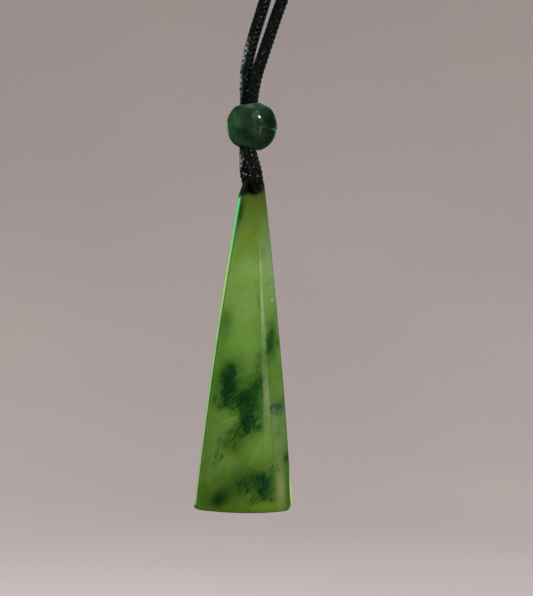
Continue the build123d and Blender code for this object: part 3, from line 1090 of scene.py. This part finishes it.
def drop_patches(tree, patch, place, warped):
    """How dark the drop's patches are at each place, and how strong their needles."""
    clearness, needle_zones = 1.0, 0.0
    tables = (
        (warped, FRONT_MIDDLE_Y, FRONT_PATCHES),
        (place, FRONT_MIDDLE_Y, EVEN_PATCHES),
        (warped, BACK_MIDDLE_Y, BACK_PATCHES),
    )
    for where, y, patches in tables:
        for x, z, wide, tall, lean, reach, cloud, needles in patches:
            found = patch_at(tree, patch, where, (x, y, z), (wide, reach, tall), lean)
            clearness = product(tree, clearness, maths(tree, "MULTIPLY_ADD", found, -cloud, 1))
            if needles:
                needle_zones = maths(tree, "MAXIMUM", needle_zones, product(tree, found, needles))
    return maths(tree, "SUBTRACT", 1, clearness), needle_zones


def stone_tone(tree, height):
    """The stone's own colour at each height."""
    share = remapped(tree, height, TONE_TOP, TONE_FOOT, kind="LINEAR")
    tone = node(tree, "ShaderNodeValToRGB", {0: share})
    ramp = tone.color_ramp.elements
    for element, (position, shade) in zip(ramp, (TONES[0], TONES[-1]), strict=True):
        element.position, element.color = position, colour(*shade)
    for position, shade in TONES[1:-1]:
        ramp.new(position).color = colour(*shade)
    return tone.outputs[0]


def grime_and_shadow_at(tree, place, mottle):
    """How much grime and painted cord shadow there is at each place, uneven at its edge."""
    flat_place = vectors(tree, "MULTIPLY", place, (1, 0, 1))
    grime_and_shadow = 0.0
    for x, z, reach in GRIME_AND_SHADOW:
        away = vectors(tree, "DISTANCE", flat_place, (x, 0, z))
        uneven = maths(tree, "MULTIPLY_ADD", mottle, GRIME_AND_SHADOW_UNEVENNESS, away)
        grime_and_shadow = maths(tree, "MAXIMUM", grime_and_shadow, remapped(tree, uneven, reach, reach + GRIME_AND_SHADOW_FADE, 1, 0))
    return grime_and_shadow


def drop_material(patch):
    """Translucent green nephrite: cloudy greens, dark mossy patches and needles, a clear polish, and
    painted rim shade, glow, sparkle and cord shadow.
    """
    material, tree, shader = new_material("green_nephrite")
    place = place_in_mm(tree)
    mottle = noise(tree, place, *MOTTLE_NOISE)[0]
    wander = vectors(tree, "SUBTRACT", noise(tree, place, *WANDER_NOISE)["Color"], (0.5,) * 3)
    warped = vectors(tree, "MULTIPLY_ADD", wander, EDGE_WANDER, place)
    clouds, needle_zones = drop_patches(tree, patch, place, warped)
    bent = vectors(tree, "MULTIPLY_ADD", wander, NEEDLE_WANDER, place)
    values = {"Vector": bent, "Angle": -math.radians(NEEDLE_LEAN)}
    turned = node(tree, "ShaderNodeVectorRotate", values, rotation_type="Y_AXIS").outputs[0]
    strokes = noise(tree, vectors(tree, "MULTIPLY", turned, NEEDLE_SHAPE), *STROKE_NOISE)[0]
    needles = remapped(tree, needle_zones, 0.05, 0.6, 0, NEEDLE_STRENGTH)
    needles = product(tree, remapped(tree, strokes, 0.42, 0.67), needles)
    in_zone = remapped(tree, needle_zones, 0, 0.5)
    streaks = between(tree, in_zone, 1.0, remapped(tree, strokes, 0.33, 0.66, 0.76, 1.08))
    clouds = product(tree, clouds, remapped(tree, mottle, 0.3, 0.62, 0.8, 1.05), streaks)
    body = stone_tone(tree, node(tree, "ShaderNodeSeparateXYZ", {0: warped}).outputs[2])
    wisps = noise(tree, vectors(tree, "MULTIPLY", turned, WISP_SHAPE), *WISP_NOISE)[0]
    body = tinted(tree, remapped(tree, wisps, 0.44, 0.8, 0, 0.52), body, WISP_SHADE)
    body = tinted(tree, remapped(tree, wisps, 0.5, 0.28, 0, 0.6), body, CLOUD_SHADE)
    body = tinted(tree, remapped(tree, mottle, 0.5, 0.75, 0, 0.35), body, MOTTLE_SHADE)
    for x, z, wide, tall, lean, strength, shade in TINTS_AND_PAINTED_SPARKLE:
        found = patch_at(tree, patch, place, (x, FRONT_MIDDLE_Y, z), (wide, TINT_REACH, tall), lean)
        body = tinted(tree, product(tree, found, strength), body, shade)
    body = tinted(tree, remapped(tree, clouds, 0, 0.75, kind="LINEAR"), body, PATCH_SHADE)
    body = tinted(tree, needles, body, NEEDLE_SHADE)
    body = tinted(tree, remapped(tree, clouds, 0.45, 1.02, kind="LINEAR"), body, PATCH_CORE)
    # Painted shade: the rims' rounds, found by how far the surface turns from the front, are darkened.
    facing = node(tree, "ShaderNodeNewGeometry").outputs["Normal"]
    front = maths(tree, "ABSOLUTE", node(tree, "ShaderNodeSeparateXYZ", {0: facing}).outputs[1])
    rim = product(tree, remapped(tree, front, 0.96, 0.86), remapped(tree, front, 0.1, 0.35))
    rim = product(tree, rim, PAINTED_RIM_STRENGTH)
    # Painted light: a pale lime glow on the right rim near the foot.
    glow = patch_at(tree, patch, place, PAINTED_GLOW_MIDDLE, PAINTED_GLOW_SIZE, PAINTED_GLOW_LEAN)
    grime_and_shadow = grime_and_shadow_at(tree, place, mottle)
    body = tinted(tree, rim, body, PAINTED_RIM_SHADE)
    body = tinted(tree, product(tree, glow, remapped(tree, front, 0.97, 0.85)), body, PAINTED_GLOW_SHADE)
    # Grime, and painted shade where the cord shadows the stone.
    body = tinted(tree, grime_and_shadow, body, GRIME_AND_SHADOW_SHADE)
    polished_stone(tree, shader, body, DROP_SCATTER, DROP_SCATTER_DEPTH)
    polish = remapped(tree, noise(tree, place, *POLISH_NOISE)[0], 0.35, 0.7, 0.06, 0.13)
    fill(tree, shader, {"Roughness": between(tree, grime_and_shadow, polish, GRIME_ROUGHNESS)})
    return material


green_nephrite = drop_material(soft_patch)
drop = new_piece("nephrite_drop", drilled(drop_mesh()), green_nephrite)
drop.data.set_sharp_from_angle(angle=math.radians(SHARP_EDGE_DEGREES))
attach(drop, "drop")
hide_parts("jade_drop")

# The studio is a pale round floor whose edge sweeps up into a wall on all sides. It doesn't show in
# reflections, so that the stones' polish stays clear and shows the soft panels alone.
FLOOR_LEVEL = -0.53
FLOOR_RADIUS = 1.5
SWEEP_RADIUS = 0.9
WALL_HEIGHT = 2.6
STUDIO_SIDES = 72
SWEEP_ROWS = 12
FLECK_NOISE = (2.0, 2)
PAINT_DARK, PAINT_LIGHT, FLOOR_MIDDLE = (220, 211, 211), (229, 220, 216), (176, 170, 168)
# The floor is darker in the middle, most of all up to the first of these distances, and no more past
# the second.
DARKEST_WITHIN, DARKER_WITHIN = 0.2, 1.5


def studio_material():
    material, tree, shader = new_material("matt_pale_paint")
    place = node(tree, "ShaderNodeTexCoord").outputs["Object"]
    fleck = remapped(tree, noise(tree, place, *FLECK_NOISE)[0], 0.3, 0.7)
    away = vectors(tree, "LENGTH", vectors(tree, "MULTIPLY", place, (1, 1, 0)))
    in_middle = remapped(tree, away, DARKEST_WITHIN, DARKER_WITHIN, 1, 0)
    paint = tinted(tree, fleck, colour(*PAINT_DARK), PAINT_LIGHT)
    paint = tinted(tree, in_middle, paint, FLOOR_MIDDLE)
    fill(tree, shader, {"Base Color": paint, "Roughness": 0.9, "Specular IOR Level": 0.1})
    return material


def studio_bowl():
    """The floor and the wall round it, turned about the middle."""
    profile = [(FLOOR_RADIUS / 2, 0), (FLOOR_RADIUS, 0)]
    for turn in np.linspace(0, math.pi / 2, SWEEP_ROWS + 1)[1:]:
        rise = SWEEP_RADIUS * (1 - math.cos(turn))
        profile.append((FLOOR_RADIUS + SWEEP_RADIUS * math.sin(turn), rise))
    profile.append((FLOOR_RADIUS + SWEEP_RADIUS, WALL_HEIGHT))
    rows = len(profile)
    middle = Vector((0, 0, FLOOR_LEVEL))
    vertices = [middle]
    faces = []
    for side in range(STUDIO_SIDES):
        outward = direction(side * 360 / STUDIO_SIDES, 0)
        vertices += [middle + outward * distance + Vector((0, 0, height)) for distance, height in profile]
        here, beside = 1 + side * rows, 1 + (side + 1) % STUDIO_SIDES * rows
        faces.append((0, here, beside))
        for row in range(rows - 1):
            faces.append((here + row, here + row + 1, beside + row + 1, beside + row))
    return new_mesh("studio_bowl", vertices, faces)


studio = new_piece("studio_bowl", studio_bowl(), studio_material())
studio.visible_glossy = False

# The studio's lights, all soft panels round the drop. Each row gives the azimuth in degrees, the level
# above the drop's hole, how far away it stands, its width and height, how bright it is to look at, its
# tint, and whether it shows in the polish.
LIGHTS = [
    ("overhead", 180, 1.3, 0.4, 2.0, 2.0, 2.2, (1.0, 0.97, 0.97), False),
    ("front_high", -18, 0.45, 0.7, 0.6, 0.6, 2.25, (1.0, 1.0, 0.98), False),
    ("behind", 158, 0.5, 0.7, 0.7, 0.4, 3.5, (1.0, 1.0, 0.96), False),
    ("rim_top", 165, 0.42, 0.7, 0.5, 0.16, 1.6, (0.85, 1.0, 1.0), True),
    ("rim_glow", 150, 0.03, 0.7, 0.7, 0.4, 0.6, (0.85, 1.0, 0.95), True),
    ("green_side", -55, 0.22, 0.9, 2.0, 0.7, 0.17, (0.7, 1.0, 0.85), True),
    ("left_rim_upper", -163, 0.052, 0.7, 0.24, 0.048, 1.35, (0.2, 1.0, 0.42), True),
    ("left_rim_lower", -163, -0.0335, 0.7, 0.24, 0.123, 1.1, (0.62, 1.0, 0.4), True),
    ("right_rim_foot", 108, -0.0485, 0.7, 0.6, 0.031, 1.5, (0.5, 1.0, 0.25), True),
    ("sparkle", 26, 0.6, 0.75, 0.12, 0.12, 32.0, (1.0, 1.0, 1.0), True),
    ("band_streak", 26, -0.0235, 0.8, 0.06, 0.044, 2.4, (0.9, 1.0, 1.0), True),
    ("band_patch", 26, -0.0725, 0.8, 0.07, 0.015, 4.2, (1.0, 0.86, 0.6), True),
    ("facet_foot", 40, -0.0686, 0.8, 0.14, 0.015, 0.9, (0.95, 1.0, 1.0), True),
    ("facet_haze", 40, 0.004, 0.8, 0.14, 0.034, 0.65, (0.95, 1.0, 1.0), True),
    ("facet_haze_middle", 40, 0.004, 0.79, 0.1, 0.014, 0.6, (0.95, 1.0, 1.0), True),
]


def studio_light(name, azimuth, level, away, wide, tall, radiance, tint, mirrored):
    """A soft panel that faces the drop."""
    data = bpy.data.lights.new(name, "AREA")
    data.shape = "RECTANGLE"
    data.size, data.size_y = wide, tall
    data.color = tint
    data.energy = radiance * math.pi * wide * tall
    panel = new_object(name, data)
    panel.location = drop_hole + direction(azimuth, 0) * away + Vector((0, 0, level))
    target = drop_hole - Vector((0, 0, DROP_LENGTH / 2 * MM))
    panel.rotation_euler = (target - panel.location).to_track_quat("-Z", "Y").to_euler()
    panel.visible_glossy = mirrored
    panel.visible_camera = False


for light in LIGHTS:
    studio_light(*light)

# The room beyond the studio is dim and grey, and fills the shadows a little.
ROOM_SHADE = (150, 150, 150)
ROOM_BRIGHTNESS = 0.12
world = bpy.data.worlds.new("dim_room")
world.use_nodes = True
room = world.node_tree.nodes["Background"]
fill(world.node_tree, room, {"Color": colour(*ROOM_SHADE), "Strength": ROOM_BRIGHTNESS})
bpy.context.scene.world = world
